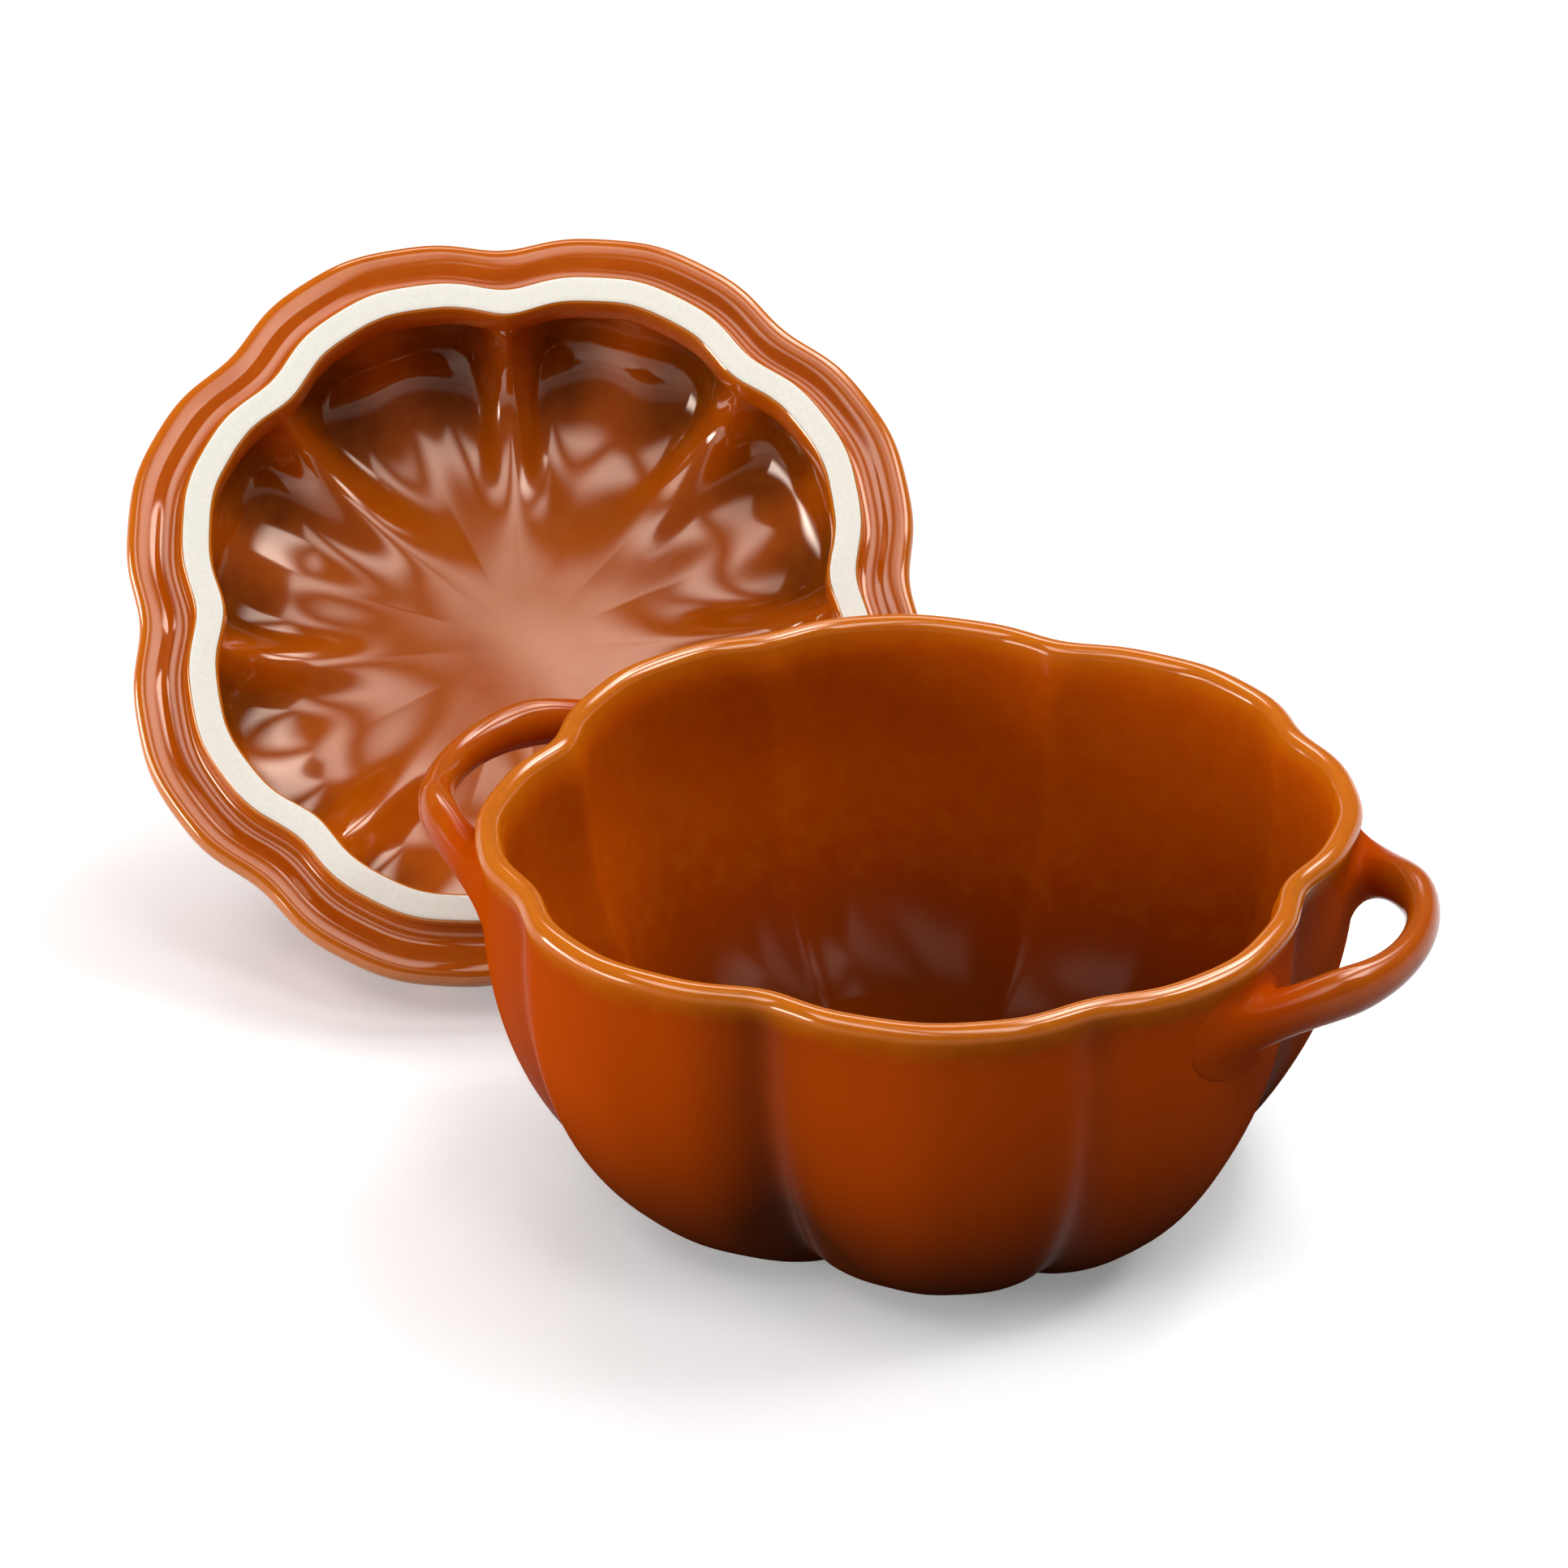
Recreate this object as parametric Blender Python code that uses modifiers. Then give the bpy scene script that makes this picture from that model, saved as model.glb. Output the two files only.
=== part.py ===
"""Pumpkin-shaped stoneware cocotte: a lobed bowl with two loop handles, and its lid lying beside it.

Metres, +Z up. The origin is the centre of the bowl's flat base, and +X runs through one handle.
"""
import math

import bmesh
import bpy
import numpy as np
from mathutils import Matrix

OBJECT_NAME = "pumpkin_cocotte"
STEPS = 80                    # facets around every turned shape, a multiple of the lobes
LUTE_GAP = 0.0003             # joint left between a stuck-on piece and the body that carries it
SEARCH_HALVINGS = 50

# Lobes, shared by the bowl and the lid
LOBES = 8
LOBE_SWELL = 0.0018           # how far the lobes swing out and in
NOTCH_WAVES = (0.22, 0.12)    # shares of the finer waves that make the notches narrower than the lobes
DEEP_NOTCH_LIP = 0.0018       # every other notch is deeper by this at the lip
DEEP_NOTCH_BELLY = 0.0032     # and by this where the wall curves in
BELLY_NOTCH_RISE = 0.6        # below 1, the deepest place lies under half height
DEEP_NOTCH_LID = 0.0012       # and by this on the lid
LOBE_FADE = 1.5               # above 1, the lobes die away faster than the radius towards the lid's crown

# Bowl
POT_HEIGHT = 0.070
RIM_RADIUS = 0.0720           # mean radius of the lip's centre line
LIP_RADIUS = 0.0018           # half thickness of the rounded lip
LIP_PROUD = 0.0004            # how far the lip stands out of the wall under it
NECK_DEPTH = 0.0060           # depth under the top at which the lip has blended into the wall
BELLY_HEIGHT = 0.056          # the wall is upright above this height
BELLY_FULLNESS = 0.59         # 0.5 is an ellipse, a larger value is leaner
FOOT_RADIUS = 0.0388
WALL = 0.0045
WALL_RINGS = 8

# Handles
HANDLE_STAND = 0.0166         # how far the middle of the bar stands out of the lip's centre line
HANDLE_SPAN = 0.0260          # half the distance between the two roots
HANDLE_DROP = 0.0088          # from the bowl's top down to the middle of the bar
BAR_WIDTH = 0.0056
BAR_HEIGHT = 0.0072
BAR_SWELL = 0.26              # share by which the bar thickens towards its roots
LOOP_SQUARENESS = 0.8         # 1 is an ellipse, a smaller value is squarer
LOOP_DEPTH = 0.0080           # how far inside the wall the loop's oval is drawn from
BAR_END = math.radians(44.0)  # turn round the oval where the bar starts to run out into the wall
ROOT_BEARING = math.radians(23.0)    # middle of a root's print on the wall
PRINT_WIDTH = 0.0125          # half the width and half the height of that print
PRINT_HEIGHT = 0.0092
PRINT_DROP = 0.0042           # its middle lies this far under the bar's
RUN_OUT = 0.0075              # pull of the bar's direction and of the wall on the curve between them
BAR_SECTIONS = 13
ROOT_SECTIONS = 8
BAR_SIDES = 16

# Lid, with its seat on the bowl's lip as height 0
LID_RADIUS = 0.0760           # mean radius of the flange's edge
FLANGE_BEAD = 0.0023          # half thickness of the rounded edge
DOME_STEP = 0.0035            # the dome starts this far inside the edge
DOME_HEIGHT = 0.0410
DOME_WALL = 0.0052
DOME_FULLNESS = 2.3           # exponent of the dome's section, 2 is an ellipse
DOME_DIP = 0.0035             # hollow round the stem, below the one in which the grooves meet
DIP_RADIUS = 0.0240
GROOVE_DEPTH = 0.0062         # main grooves from the hollow to the notches, pressed square into the shell
GROOVE_WIDTH = 0.0038         # half their width at the edge
GROOVE_SPREAD = 1.3           # share by which they would widen up to the crown
GROOVE_START = 0.0260         # radius of the even hollow in which they meet
GROOVE_FULL = 0.0480          # radius outside which they have their full depth
GROOVE_FADE = 0.0070          # height over the flange in which they run out
LESSER_SHARE = 0.52           # depth of the lesser groove down the middle of each lobe
LESSER_WIDTH = 0.0068
SHELL_LEAN = 3.0              # the higher, the nearer to the edge the shell turns down
BEAD_TURNS = (50.0, 15.0, -20.0, -55.0, -90.0)    # degrees round the flange's edge
DOME_RINGS = 12

# Locating ring under the lid
RING_RADIUS = 0.0656          # outer mean radius
RING_WIDTH = 0.0058
RING_HEIGHT = 0.0042
RING_EDGE = 0.0007            # rounding of its edges
GUTTER_DEPTH = 0.0010         # hollow between the ring and the flange
GUTTER_WIDTH = 0.0018
SHELF_HEIGHT = 0.0042         # top of the shelf that the ring makes inside the dome
SHELF_ROUNDING = 0.0012

# Stem
STEM_RADIUS = 0.0086
STEM_HEIGHT = 0.0342          # above the dome's hollow
STEM_BEND = 0.0160            # how far its tip leans over
STEM_FLARE = 0.0070           # extra radius at the root
STEM_SINK = 0.0040            # how far its root would run on into the dome
STEM_RIBS = 6
STEM_RIB_DEPTH = 0.0007
STEM_ROUNDING = 0.0012
STEM_SECTIONS = 10
STEM_SIDES = 24

# How the lid lies beside the bowl
LID_BEARING = math.radians(148.4)    # direction of the lid from the bowl
LID_FACING = math.radians(29.0)      # turn of its underside from the -Y direction
LID_CLEARANCE = 0.0003               # least distance to the bowl's side


def clear_scene():
    for old in list(bpy.data.objects):
        bpy.data.objects.remove(old, do_unlink=True)


def new_collection(name):
    group = bpy.data.collections.new(name)
    bpy.context.scene.collection.children.link(group)
    return group


def new_material(name, colour, roughness):
    material = bpy.data.materials.new(name)
    material.use_nodes = True
    shader = material.node_tree.nodes["Principled BSDF"]
    shader.inputs["Base Color"].default_value = (*colour, 1.0)
    shader.inputs["Roughness"].default_value = roughness
    shader.inputs["Metallic"].default_value = 0.0
    return material


def new_object(name, mesh, group, material=None):
    piece = bpy.data.objects.new(name, mesh)
    group.objects.link(piece)
    if material is not None:
        mesh.materials.append(material)
    mesh.shade_smooth()
    return piece


def turned_mesh(name, profile):
    """Mesh of a profile of (radius, height) points turned about the Z axis."""
    mesh = bpy.data.meshes.new(name)
    mesh.from_pydata([(r, 0.0, z) for r, z in profile], [(i, i + 1) for i in range(len(profile) - 1)], [])
    blank = bpy.data.objects.new(name, mesh)
    bpy.context.scene.collection.objects.link(blank)
    screw = blank.modifiers.new("turn", "SCREW")
    screw.axis = "Z"
    screw.steps = STEPS
    screw.render_steps = STEPS
    screw.use_merge_vertices = True
    screw.merge_threshold = 0.00001
    view = bpy.context.evaluated_depsgraph_get()
    result = bpy.data.meshes.new_from_object(blank.evaluated_get(view))
    bpy.data.objects.remove(blank, do_unlink=True)
    bm = bmesh.new()
    bm.from_mesh(result)
    bmesh.ops.remove_doubles(bm, verts=bm.verts, dist=0.000005)
    bmesh.ops.dissolve_degenerate(bm, edges=bm.edges, dist=0.000005)
    bm.to_mesh(result)
    bm.free()
    return result


def shape_vertices(mesh, move):
    """Give every vertex the place that move returns for its (radius, angle, height)."""
    for vertex in mesh.vertices:
        x, y, z = vertex.co
        angle = math.atan2(y, x)
        radius, height = move(math.hypot(x, y), angle, z)
        vertex.co = (radius * math.cos(angle), radius * math.sin(angle), height)


def lofted_mesh(name, rings):
    """Closed mesh through a row of rings of points, capped at both ends."""
    bm = bmesh.new()
    rows = [[bm.verts.new(point) for point in ring] for ring in rings]
    sides = len(rows[0])
    for low, high in zip(rows, rows[1:]):
        for i in range(sides):
            j = (i + 1) % sides
            bm.faces.new((low[i], low[j], high[j], high[i]))
    bm.faces.new(list(reversed(rows[0])))
    bm.faces.new(rows[-1])
    bmesh.ops.recalc_face_normals(bm, faces=bm.faces)
    mesh = bpy.data.meshes.new(name)
    bm.to_mesh(mesh)
    bm.free()
    return mesh


def offset(points, distance):
    """Move a profile's points along its left-hand normal."""
    path = np.array(points)
    along = np.gradient(path, axis=0)
    along /= np.linalg.norm(along, axis=1)[:, None]
    return path + distance * np.column_stack((-along[:, 1], along[:, 0]))


def add_cutter(piece, cutter):
    cut = piece.modifiers.new("lute", "BOOLEAN")
    cut.operation = "DIFFERENCE"
    cut.solver = "EXACT"
    cut.object = cutter
    cutter.hide_render = True
    cutter.display_type = "WIRE"


def own_vertices(piece):
    """Evaluated vertices of a piece in its own frame."""
    view = bpy.context.evaluated_depsgraph_get()
    mesh = piece.evaluated_get(view).to_mesh()
    return np.array([vertex.co[:] for vertex in mesh.vertices])


def flute(angle, deep):
    """Outward swing of the lobed outline: notches at multiples of 45 degrees, every other one deeper."""
    turn = LOBES * angle
    swell = np.cos(turn) + NOTCH_WAVES[0] * np.cos(2 * turn) + NOTCH_WAVES[1] * np.cos(3 * turn)
    return -LOBE_SWELL * swell - deep * np.cos(turn / 2)


def bowl_deep(z):
    """Extra depth of the deeper notches at a height on the bowl."""
    share = np.sin(math.pi * np.clip(z / POT_HEIGHT, 0.0, 1.0) ** BELLY_NOTCH_RISE)
    return DEEP_NOTCH_LIP + (DEEP_NOTCH_BELLY - DEEP_NOTCH_LIP) * share


def bowl_move(radius, angle, z):
    """Lobes fade out across the flat base and floor."""
    fade = min(1.0, (radius / FOOT_RADIUS) ** 2)
    return radius + fade * flute(angle, bowl_deep(z)), z


def wall_radius(z):
    """Mean outer radius of the bowl's wall at a height, up to the middle of the lip."""
    rise = 1.0 - np.clip(z / BELLY_HEIGHT, 0.0, 1.0)
    upright = RIM_RADIUS + LIP_RADIUS - LIP_PROUD
    neck = np.clip((z - POT_HEIGHT + NECK_DEPTH) / (NECK_DEPTH - LIP_RADIUS), 0.0, 1.0)
    return FOOT_RADIUS + (upright - FOOT_RADIUS) * (1.0 - rise ** 2) ** BELLY_FULLNESS + LIP_PROUD * neck


def wall_profile():
    """Outer wall from the foot's edge up to just under the lip."""
    turns = np.linspace(0.0, math.pi / 2, WALL_RINGS + 1)
    heights = list(BELLY_HEIGHT * (1.0 - np.cos(turns))) + [POT_HEIGHT - NECK_DEPTH]
    return [(wall_radius(z), z) for z in heights]


def bowl_profile():
    """Inside from the floor's centre up, over the lip and down the outside to the base's centre."""
    outer = wall_profile()
    inner = offset(outer, WALL)
    inner[0] = (FOOT_RADIUS, WALL)
    top = POT_HEIGHT - LIP_RADIUS
    lip = [(RIM_RADIUS - LIP_RADIUS * math.cos(a), top + LIP_RADIUS * math.sin(a))
           for a in np.linspace(0.0, math.pi, 5)]
    return [(0.0, WALL), *map(tuple, inner), *lip, *reversed(outer), (0.0, 0.0)]


def bar_ring(turn):
    """Oval section of a handle's bar, square to its path, and the direction of the path."""
    start = wall_radius(POT_HEIGHT - HANDLE_DROP) - LOOP_DEPTH
    reach = RIM_RADIUS + HANDLE_STAND - start
    ahead = np.array((-reach * LOOP_SQUARENESS * math.cos(turn) ** (LOOP_SQUARENESS - 1.0) * math.sin(turn),
                      HANDLE_SPAN * math.cos(turn), 0.0))
    ahead /= np.linalg.norm(ahead)
    across = np.array((ahead[1], -ahead[0], 0.0))
    middle = np.array((start + reach * math.cos(turn) ** LOOP_SQUARENESS, HANDLE_SPAN * math.sin(turn),
                       POT_HEIGHT - HANDLE_DROP))
    grow = 1.0 + BAR_SWELL * (turn / BAR_END) ** 2
    side = np.linspace(0.0, 2 * math.pi, BAR_SIDES, endpoint=False)[:, None]
    oval = BAR_WIDTH / 2 * np.cos(side) * across + BAR_HEIGHT / 2 * np.sin(side) * np.array((0.0, 0.0, 1.0))
    return middle + grow * oval, ahead


def print_ring(hand, size):
    """Outline of a root's print, or of a smaller one inside it, a luting joint off the bowl's wall."""
    side = np.linspace(0.0, 2 * math.pi, BAR_SIDES, endpoint=False)
    z = POT_HEIGHT - HANDLE_DROP - PRINT_DROP + size * PRINT_HEIGHT * np.sin(side)
    angle = hand * (ROOT_BEARING + size * PRINT_WIDTH / RIM_RADIUS * np.cos(side))
    radius = wall_radius(z) + flute(angle, bowl_deep(z)) + LUTE_GAP
    return np.column_stack((radius * np.cos(angle), radius * np.sin(angle), z))


def root_rings(hand):
    """Sections from the end of the bar out over the wall, then the print's own face."""
    bar, ahead = bar_ring(hand * BAR_END)
    rim = print_ring(hand, 1.0)
    spread = rim - print_ring(hand, 0.9)
    spread /= np.linalg.norm(spread, axis=1)[:, None]
    leave = bar + RUN_OUT * hand * ahead
    away = np.array((math.cos(ROOT_BEARING), hand * math.sin(ROOT_BEARING), 0.0))
    arrive = rim - RUN_OUT * spread + RUN_OUT / 3 * away
    rings = [(1 - t) ** 3 * bar + 3 * t * (1 - t) ** 2 * leave + 3 * t ** 2 * (1 - t) * arrive + t ** 3 * rim
             for t in np.linspace(0.0, 1.0, ROOT_SECTIONS)[1:]]
    return rings + [print_ring(hand, 0.65), print_ring(hand, 0.3)]


def handle_rings():
    """Sections of a loop over the +X notch, from one root's print to the other's."""
    bar = [bar_ring(turn)[0] for turn in np.linspace(-BAR_END, BAR_END, BAR_SECTIONS)]
    return [*reversed(root_rings(-1)), *bar, *root_rings(1)]


def dome_section(radius, low, high, rings):
    """Half a dome from its crown down to its foot, with the hollow for the stem."""
    points = []
    for turn in np.linspace(math.pi / 2, 0.0, rings):
        r = radius * max(math.cos(turn), 0.0) ** (2 / DOME_FULLNESS)
        z = low + (high - low) * math.sin(turn) ** (2 / DOME_FULLNESS)
        points.append((r if turn < math.pi / 2 else 0.0, z - dip(r)))
    return points


def dip(radius):
    return DOME_DIP * math.exp(-(radius / DIP_RADIUS) ** 2)


def lid_outside():
    """Outside of the lid from the crown down to the underside of the flange's edge."""
    dome = dome_section(LID_RADIUS - DOME_STEP, 2 * FLANGE_BEAD, DOME_HEIGHT, DOME_RINGS)
    bead = [(LID_RADIUS - FLANGE_BEAD + FLANGE_BEAD * math.cos(a), FLANGE_BEAD + FLANGE_BEAD * math.sin(a))
            for a in np.radians(BEAD_TURNS)]
    return dome + bead


def lid_profile():
    ring_inside = RING_RADIUS - RING_WIDTH
    under = [
        (RING_RADIUS + GUTTER_WIDTH, GUTTER_DEPTH),
        (RING_RADIUS, GUTTER_DEPTH - RING_EDGE),
        (RING_RADIUS, RING_EDGE - RING_HEIGHT),
        (RING_RADIUS - RING_EDGE, -RING_HEIGHT),
        (ring_inside + RING_EDGE, -RING_HEIGHT),
        (ring_inside, RING_EDGE - RING_HEIGHT),
        (ring_inside, SHELF_HEIGHT - SHELF_ROUNDING),
        (ring_inside + SHELF_ROUNDING, SHELF_HEIGHT),
    ]
    inside = dome_section(LID_RADIUS - DOME_STEP - DOME_WALL, SHELF_HEIGHT + SHELF_ROUNDING,
                          DOME_HEIGHT - DOME_WALL, DOME_RINGS)
    return lid_outside() + under + list(reversed(inside))


def pressed(radius, angle):
    """Depth to which the grooves are pressed into the dome. They meet in an even hollow round the stem."""
    from_notch = radius * abs(math.asin(math.sin(LOBES * angle / 2))) * 2 / LOBES
    from_crest = radius * math.pi / LOBES - from_notch
    width = GROOVE_WIDTH * (1.0 + GROOVE_SPREAD * (1.0 - radius / LID_RADIUS))
    groove = math.exp(-(from_notch / width) ** 2) + LESSER_SHARE * math.exp(-(from_crest / LESSER_WIDTH) ** 2)
    begun = min(1.0, max(0.0, (radius - GROOVE_START) / (GROOVE_FULL - GROOVE_START)))
    return GROOVE_DEPTH * (1.0 - begun * begun * (3.0 - 2.0 * begun) * (1.0 - groove))


def lid_move(radius, angle, z):
    """Lobed edge and ring, and radial grooves pressed into the shell, which show as ridges inside."""
    press = pressed(radius, angle) * min(1.0, max(0.0, (z - 2 * FLANGE_BEAD) / GROOVE_FADE))
    lean = min(1.0, radius / (LID_RADIUS - DOME_STEP)) ** SHELL_LEAN
    flank = min(1.0, radius / (RING_RADIUS - RING_WIDTH)) ** LOBE_FADE
    return radius + flank * flute(angle, DEEP_NOTCH_LID) - press * lean, z - press * (1.0 - lean)


def lid_cutter_profile():
    """The dome's outside, grown by the luting joint and filled down to the flange."""
    crown = dome_section(LID_RADIUS - DOME_STEP, 2 * FLANGE_BEAD, DOME_HEIGHT, DOME_RINGS)
    grown = offset(crown, LUTE_GAP)
    grown[0] = (0.0, crown[0][1] + LUTE_GAP)
    return [*map(tuple, grown), (0.0, grown[-1][1])]


def stem_rings():
    """Ribbed sections up a stalk that leans towards +Y, flared at the root and rounded at the tip."""
    root = DOME_HEIGHT - DOME_DIP - GROOVE_DEPTH
    rise = STEM_HEIGHT + STEM_SINK
    rings = []
    levels = list(np.linspace(0.0, 1.0, STEM_SECTIONS)) + [1.0]
    for index, level in enumerate(levels):
        tip = index == len(levels) - 1
        flare = STEM_FLARE * math.exp(-max(0.0, level * rise - STEM_SINK) / STEM_FLARE)
        radius = STEM_RADIUS + flare + STEM_RIB_DEPTH * level - (STEM_ROUNDING if tip else 0.0)
        lean = math.atan2(2 * STEM_BEND * level, rise)
        ring = []
        for side in np.linspace(0.0, 2 * math.pi, STEM_SIDES, endpoint=False):
            rib = radius + STEM_RIB_DEPTH * math.cos(STEM_RIBS * side)
            end = STEM_ROUNDING if tip else 0.0
            out = rib * math.sin(side)
            ring.append((
                rib * math.cos(side),
                STEM_BEND * level ** 2 + out * math.cos(lean) + end * math.sin(lean),
                root - STEM_SINK + rise * level - out * math.sin(lean) + end * math.cos(lean),
            ))
        rings.append(ring)
    return rings


def resting_tilt(lid_points, stem_points):
    """Turn about X at which the overturned lid stands on its edge and on the tip of its stem."""
    def lowest(points, turn):
        return (points[:, 1] * math.sin(turn) + points[:, 2] * math.cos(turn)).min()

    near, far = -math.pi, -math.pi / 2
    for _ in range(SEARCH_HALVINGS):
        middle = (near + far) / 2
        if lowest(lid_points, middle) < lowest(stem_points, middle):
            far = middle
        else:
            near = middle
    return (near + far) / 2


def beside_bowl(points):
    """Distance along the lid's bearing at which it clears the bowl's side."""
    way = np.array([math.cos(LID_BEARING), math.sin(LID_BEARING)])
    low = points[points[:, 2] < POT_HEIGHT]
    near, far = 0.0, 4 * RIM_RADIUS
    for _ in range(SEARCH_HALVINGS):
        middle = (near + far) / 2
        spot = low[:, :2] + middle * way
        angle = np.arctan2(spot[:, 1], spot[:, 0])
        side = wall_radius(low[:, 2]) + flute(angle, bowl_deep(low[:, 2]))
        if (np.hypot(spot[:, 0], spot[:, 1]) - side).min() < LID_CLEARANCE:
            near = middle
        else:
            far = middle
    return far * way


clear_scene()
parts = new_collection(OBJECT_NAME)
cutters = new_collection("cutters")

# Bowl: turned, then pressed into lobes
bowl_glaze = new_material("bowl_glaze", (0.255, 0.058, 0.006), 0.12)
bowl_mesh = turned_mesh("bowl", bowl_profile())
shape_vertices(bowl_mesh, bowl_move)
new_object("bowl", bowl_mesh, parts, bowl_glaze)

# Handles: two loops luted over opposite deep notches
for name, turn in (("handle_right", 0.0), ("handle_left", math.pi)):
    handle_glaze = new_material(name + "_glaze", (0.30, 0.085, 0.012), 0.12)
    handle = new_object(name, lofted_mesh(name, handle_rings()), parts, handle_glaze)
    handle.rotation_euler.z = turn

# Lid: domed and grooved over the notches, with an unglazed locating ring underneath
lid_frame = bpy.data.objects.new("lid_frame", None)
parts.objects.link(lid_frame)
lid_glaze = new_material("lid_glaze", (0.255, 0.058, 0.006), 0.12)
bisque = new_material("lid_ring_bisque", (0.82, 0.80, 0.72), 0.75)
lid_mesh = turned_mesh("lid", lid_profile())
lid_mesh.materials.append(lid_glaze)
lid_mesh.materials.append(bisque)
for face in lid_mesh.polygons:
    if face.center.z < RING_EDGE / 2 - RING_HEIGHT:
        face.material_index = 1
shape_vertices(lid_mesh, lid_move)
lid = new_object("lid", lid_mesh, parts)
lid.parent = lid_frame

# Stem: the lid's knob
lid_cutter_mesh = turned_mesh("lid_cutter", lid_cutter_profile())
shape_vertices(lid_cutter_mesh, lid_move)
lid_cutter = new_object("lid_cutter", lid_cutter_mesh, cutters)
lid_cutter.parent = lid_frame
stem_glaze = new_material("stem_glaze", (0.255, 0.058, 0.006), 0.12)
stem = new_object("stem_knob", lofted_mesh("stem_knob", stem_rings()), parts, stem_glaze)
stem.parent = lid_frame
add_cutter(stem, lid_cutter)

# The lid lies bottom up behind the bowl, on its edge and the tip of its stem
lid_points = own_vertices(lid)
stem_points = own_vertices(stem)
tilt = resting_tilt(lid_points, stem_points)
turn_over = Matrix.Rotation(LID_FACING, 3, "Z") @ Matrix.Rotation(tilt, 3, "X")
lying = np.vstack((lid_points, stem_points)) @ np.array(turn_over).T
lid_height = -lying[:, 2].min()
aside = beside_bowl(lying + (0.0, 0.0, lid_height))
lid_frame.rotation_euler = (tilt, 0.0, LID_FACING)
lid_frame.location = (aside[0], aside[1], lid_height)
bpy.context.view_layer.update()
print("lid lies at", [round(v, 5) for v in lid_frame.location], "turned by", round(math.degrees(tilt), 2))
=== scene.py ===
"""Looks of a pumpkin-shaped stoneware cocotte: lobed bowl, loop handles, and its lid lying bottom up behind it."""
import math

import bmesh
import bpy
import numpy as np
from mathutils import Euler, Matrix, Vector


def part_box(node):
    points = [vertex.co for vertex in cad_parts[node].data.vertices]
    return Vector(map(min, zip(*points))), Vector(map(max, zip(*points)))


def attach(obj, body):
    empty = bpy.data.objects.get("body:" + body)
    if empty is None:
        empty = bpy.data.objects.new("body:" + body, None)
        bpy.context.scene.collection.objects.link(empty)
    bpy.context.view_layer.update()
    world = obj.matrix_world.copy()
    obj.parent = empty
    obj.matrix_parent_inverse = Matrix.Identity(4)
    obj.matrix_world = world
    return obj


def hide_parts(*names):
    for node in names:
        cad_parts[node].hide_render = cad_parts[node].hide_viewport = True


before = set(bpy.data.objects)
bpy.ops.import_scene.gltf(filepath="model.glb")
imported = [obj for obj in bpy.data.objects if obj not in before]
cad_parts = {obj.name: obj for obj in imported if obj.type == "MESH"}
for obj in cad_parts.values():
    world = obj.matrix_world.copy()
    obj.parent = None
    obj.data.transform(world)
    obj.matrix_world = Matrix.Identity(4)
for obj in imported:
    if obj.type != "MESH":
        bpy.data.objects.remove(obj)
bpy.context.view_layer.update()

# Bowl
# A single-serving bowl of white stoneware, cast in a lobed mould and dipped in amber glaze.
# It stands on a flat base, and its rounded lip follows the eight lobes. Every other notch is deeper.
LOBES = 8
LOBE_SWELL = 0.0018
NOTCH_WAVES = (0.22, 0.12)        # shares of the second and third wave, which sharpen the notches
DEEP_NOTCH_LIP = 0.0018           # how much deeper every other notch is, at the lip and at the belly
DEEP_NOTCH_BELLY = 0.0032
BELLY_NOTCH_RISE = 0.6            # below 1, the deepest place lies lower
POT_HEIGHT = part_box("bowl")[1].z
RIM_RADIUS = 0.0720               # mean radius of the lip's centre line
LIP_RADIUS = 0.0023
LIP_PROUD = 0.0009                # how far the lip stands out of the wall under it
NECK_DEPTH = 0.0060               # under the top, where the lip has blended into the wall
BELLY_HEIGHT = 0.056              # the wall is upright above this height
BELLY_FULLNESS = 0.59             # 0.5 is an ellipse, a larger value is leaner
FOOT_RADIUS = 0.0388
FOOT_BEVEL = (0.0012, 0.0006)     # width and height of the break round the base
FOOT_RING = (0.0290, 0.0350)      # the band of the base that is wiped bare before firing
WIPED_EDGE = 0.001                # width over which that band ends
WALL = 0.0045
HEEL_HEIGHT = 1.25 * WALL         # where the inner wall rises out of the floor
FLOOR_RADIUS = FOOT_RADIUS - 0.004
NOTCH_CREASE = 0.0013             # depth of the fold along the bottom of each notch
CREASE_WIDTH = 0.0034
CREASE_INSIDE = 0.6               # share of it that shows as a ridge inside
CREASE_START = (0.001, 0.010)     # under the top, where the folds start and where they have their full depth
WALL_ROWS, UPRIGHT_ROWS, FLOOR_ROWS, BASE_ROWS = 36, 5, 9, 24
LIP_ROWS, NECK_ROWS = 13, 5
BOWL_COLUMNS = 480
SAME_POINT = 1e-6                 # points of a mesh that lie closer than this are merged


def flute(angle, deep):
    """Outward swing of the lobed outline, with notches at multiples of 45 degrees."""
    turn = LOBES * angle
    swell = np.cos(turn) + NOTCH_WAVES[0] * np.cos(2 * turn) + NOTCH_WAVES[1] * np.cos(3 * turn)
    return -LOBE_SWELL * swell - deep * np.cos(turn / 2)


def near_notch(angle, width):
    """1 along the notches, falling off over a width on the wall."""
    from_notch = RIM_RADIUS * np.arcsin(np.sin(LOBES * angle / 2)) * 2 / LOBES
    return np.exp(-(from_notch / width) ** 2)


def bowl_deep(z):
    """How much deeper every other notch is at a height."""
    share = np.sin(math.pi * np.clip(z / POT_HEIGHT, 0.0, 1.0) ** BELLY_NOTCH_RISE)
    return DEEP_NOTCH_LIP + (DEEP_NOTCH_BELLY - DEEP_NOTCH_LIP) * share


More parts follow.
